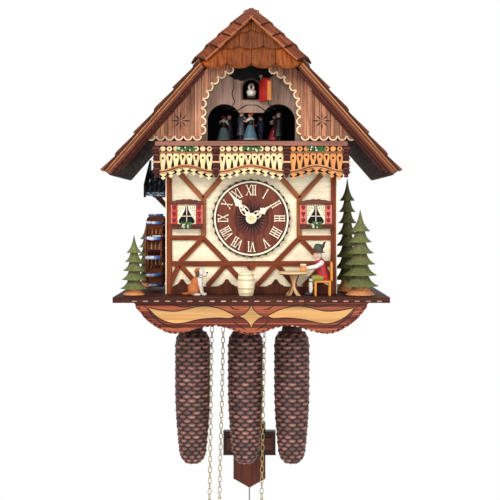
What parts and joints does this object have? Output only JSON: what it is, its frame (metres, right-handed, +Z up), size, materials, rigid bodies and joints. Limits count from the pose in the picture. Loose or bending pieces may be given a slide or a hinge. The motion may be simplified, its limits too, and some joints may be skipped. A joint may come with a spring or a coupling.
{
  "type": "wall cuckoo clock",
  "caption": "Wall-hung chalet cuckoo clock with shingled roof, dancers on a carousel, water wheel, beer drinker, pendulum and pine cone weights on chains.",
  "frame": {"origin": "centre of the hanger bore at the back of the clock, in the wall plane", "axes": "+Z up along the chains and the pendulum, +Y into the wall, the dial faces -Y, +X to the right of somebody who faces the dial"},
  "size_m": [0.382, 0.24, 0.9117],
  "materials": {
    "dark_wood": "satin varnished dark brown wood",
    "brown_wood": "stained brown wood",
    "gable_wood": "grey-brown stained wood",
    "shingle_wood": "oiled shingle wood",
    "cream_wood": "pale limewood",
    "cream_plastic": "cream moulded plastic",
    "red_paint": "red painted wood",
    "painted_figure": "hand-painted carved wood",
    "green_paint": "green painted turned wood",
    "brass": "plain brass",
    "steel": "plain steel",
    "cone_iron": "antique copper lacquer on cast iron"
  },
  "bodies": {
    "case": {"back_panel": "brown_wood", "hanger_plate": "steel", "side_wall_left": "brown_wood", "side_wall_right": "brown_wood", "facade_panel": "cream_wood", "timber_frame": "brown_wood", "inner_gable": "brown_wood", "gable_board": "gable_wood", "stage_floor": "gable_wood", "balcony_posts": "dark_wood", "balcony_rails": "brown_wood", "balcony_balusters": "cream_wood", "roof_board_left": "dark_wood", "roof_board_right": "dark_wood", "hip_board": "dark_wood", "shingles": "shingle_wood", "hip_shingles": "shingle_wood", "ridge_cap": "dark_wood", "base_platform": "dark_wood", "front_apron": "shingle_wood", "window_left": "red_paint", "window_right": "red_paint", "dial_plate": "brown_wood", "dial_ring": "cream_plastic", "movement_frame": "brass", "whistles": "brown_wood", "water_trough": "dark_wood", "trees": "green_paint", "dog": "painted_figure", "barrel": "cream_wood", "furniture": "cream_wood", "drinker": "painted_figure"},
    "minute_hand_set": {"minute_hand": "cream_plastic", "minute_arbor": "brass"},
    "hour_hand_set": {"hour_hand": "cream_plastic", "hour_pipe": "brass"},
    "pendulum": {"pendulum_rod": "steel", "pendulum_bob": "dark_wood"},
    "anchor_set": {"anchor": "steel"},
    "music_cylinder_set": {"music_cylinder": "brass"},
    "carousel": {"turntable": "dark_wood", "dancers": "painted_figure"},
    "mill_wheel": {"water_wheel": "brown_wood"},
    "music_great_wheel": {"music_sprocket": "brass"},
    "time_great_wheel": {"time_sprocket": "brass"},
    "strike_great_wheel": {"strike_sprocket": "brass"},
    "music_weight_set": {"music_weight": "cone_iron"},
    "time_weight_set": {"time_weight": "cone_iron"},
    "strike_weight_set": {"strike_weight": "cone_iron"},
    "music_pull": {"music_pull_chain": "brass", "music_pull_hank": "brass"},
    "time_pull": {"time_pull_chain": "brass", "time_pull_hank": "brass"},
    "strike_pull": {"strike_pull_chain": "brass", "strike_pull_hank": "brass"},
    "cuckoo_bird": {"cuckoo": "painted_figure"},
    "door": {"cuckoo_door": "red_paint"},
    "left_bellows": {"bellows_top_left": "cream_wood"},
    "right_bellows": {"bellows_top_right": "cream_wood"},
    "beer_arm": {"drinker_arm": "painted_figure"}
  },
  "joints": [
    {"name": "minute_hand_turn", "type": "hinge", "parent": "case", "child": "minute_hand_set", "pos_m": [0, -0.19, -0.191], "axis": [0, 1, 0], "continuous": true},
    {"name": "hour_hand_turn", "type": "hinge", "parent": "case", "child": "hour_hand_set", "pos_m": [0, -0.19, -0.191], "axis": [0, 1, 0], "continuous": true},
    {"name": "pendulum_swing", "type": "hinge", "parent": "case", "child": "pendulum", "pos_m": [-0.0027, -0.05, -0.151], "axis": [0, 1, 0], "range_deg": [-4, 4]},
    {"name": "anchor_rock", "type": "hinge", "parent": "case", "child": "anchor_set", "pos_m": [-0.0027, -0.1, -0.151], "axis": [0, 1, 0], "range_deg": [-4, 4]},
    {"name": "carousel_turn", "type": "hinge", "parent": "case", "child": "carousel", "pos_m": [0, -0.128, -0.09], "axis": [0, 0, 1], "continuous": true},
    {"name": "mill_wheel_turn", "type": "hinge", "parent": "case", "child": "mill_wheel", "pos_m": [-0.1305, -0.12, -0.2355], "axis": [1, 0, 0], "continuous": true},
    {"name": "music_cylinder_turn", "type": "hinge", "parent": "case", "child": "music_cylinder_set", "pos_m": [-0.086, -0.11, -0.214], "axis": [0, 1, 0], "continuous": true},
    {"name": "music_weight_slide", "type": "slide", "parent": "case", "child": "music_weight_set", "axis": [0, 0, 1], "range_m": [-0.065, 0.015]},
    {"name": "time_weight_slide", "type": "slide", "parent": "case", "child": "time_weight_set", "axis": [0, 0, 1], "range_m": [-0.065, 0.015]},
    {"name": "strike_weight_slide", "type": "slide", "parent": "case", "child": "strike_weight_set", "axis": [0, 0, 1], "range_m": [-0.065, 0.015]},
    {"name": "music_pull_slide", "type": "slide", "parent": "case", "child": "music_pull", "axis": [0, 0, 1], "range_m": [-0.015, 0.065]},
    {"name": "time_pull_slide", "type": "slide", "parent": "case", "child": "time_pull", "axis": [0, 0, 1], "range_m": [-0.015, 0.065]},
    {"name": "strike_pull_slide", "type": "slide", "parent": "case", "child": "strike_pull", "axis": [0, 0, 1], "range_m": [-0.015, 0.065]},
    {"name": "music_wheel_turn", "type": "hinge", "parent": "case", "child": "music_great_wheel", "pos_m": [-0.067, -0.11, -0.238], "axis": [0, 1, 0], "continuous": true},
    {"name": "time_wheel_turn", "type": "hinge", "parent": "case", "child": "time_great_wheel", "pos_m": [-0.02325, -0.11, -0.238], "axis": [0, 1, 0], "continuous": true},
    {"name": "strike_wheel_turn", "type": "hinge", "parent": "case", "child": "strike_great_wheel", "pos_m": [0.037, -0.11, -0.238], "axis": [0, 1, 0], "continuous": true},
    {"name": "cuckoo_door_hinge", "type": "hinge", "parent": "case", "child": "door", "pos_m": [0.0126, -0.1898, -0.022], "axis": [0, 0, 1], "range_deg": [-115, 0]},
    {"name": "cuckoo_slide", "type": "slide", "parent": "case", "child": "cuckoo_bird", "axis": [0, 1, 0], "range_m": [0, 0.0302]},
    {"name": "left_bellows_lift", "type": "hinge", "parent": "case", "child": "left_bellows", "pos_m": [-0.0895, -0.046, -0.1396], "axis": [-1, 0, 0], "range_deg": [0, 12]},
    {"name": "right_bellows_lift", "type": "hinge", "parent": "case", "child": "right_bellows", "pos_m": [0.0895, -0.046, -0.1396], "axis": [-1, 0, 0], "range_deg": [0, 12]},
    {"name": "beer_arm_lift", "type": "hinge", "parent": "case", "child": "beer_arm", "pos_m": [0.09, -0.2172, -0.248], "axis": [0, 1, 0], "range_deg": [0, 35]}
  ],
  "couplings": [
    {"joint": "hour_hand_turn", "follows": "minute_hand_turn", "ratio": 0.083333},
    {"joint": "anchor_rock", "follows": "pendulum_swing", "ratio": 1},
    {"joint": "mill_wheel_turn", "follows": "carousel_turn", "ratio": 1},
    {"joint": "music_cylinder_turn", "follows": "carousel_turn", "ratio": 0.25},
    {"joint": "music_pull_slide", "follows": "music_weight_slide", "ratio": -1},
    {"joint": "time_pull_slide", "follows": "time_weight_slide", "ratio": -1},
    {"joint": "strike_pull_slide", "follows": "strike_weight_slide", "ratio": -1},
    {"joint": "music_wheel_turn", "follows": "music_weight_slide", "rad_per_m": 71.429},
    {"joint": "time_wheel_turn", "follows": "time_weight_slide", "rad_per_m": -65.574},
    {"joint": "strike_wheel_turn", "follows": "strike_weight_slide", "rad_per_m": -52.632},
    {"joint": "cuckoo_slide", "follows": "cuckoo_door_hinge", "m_per_rad": -0.014947}
  ]
}
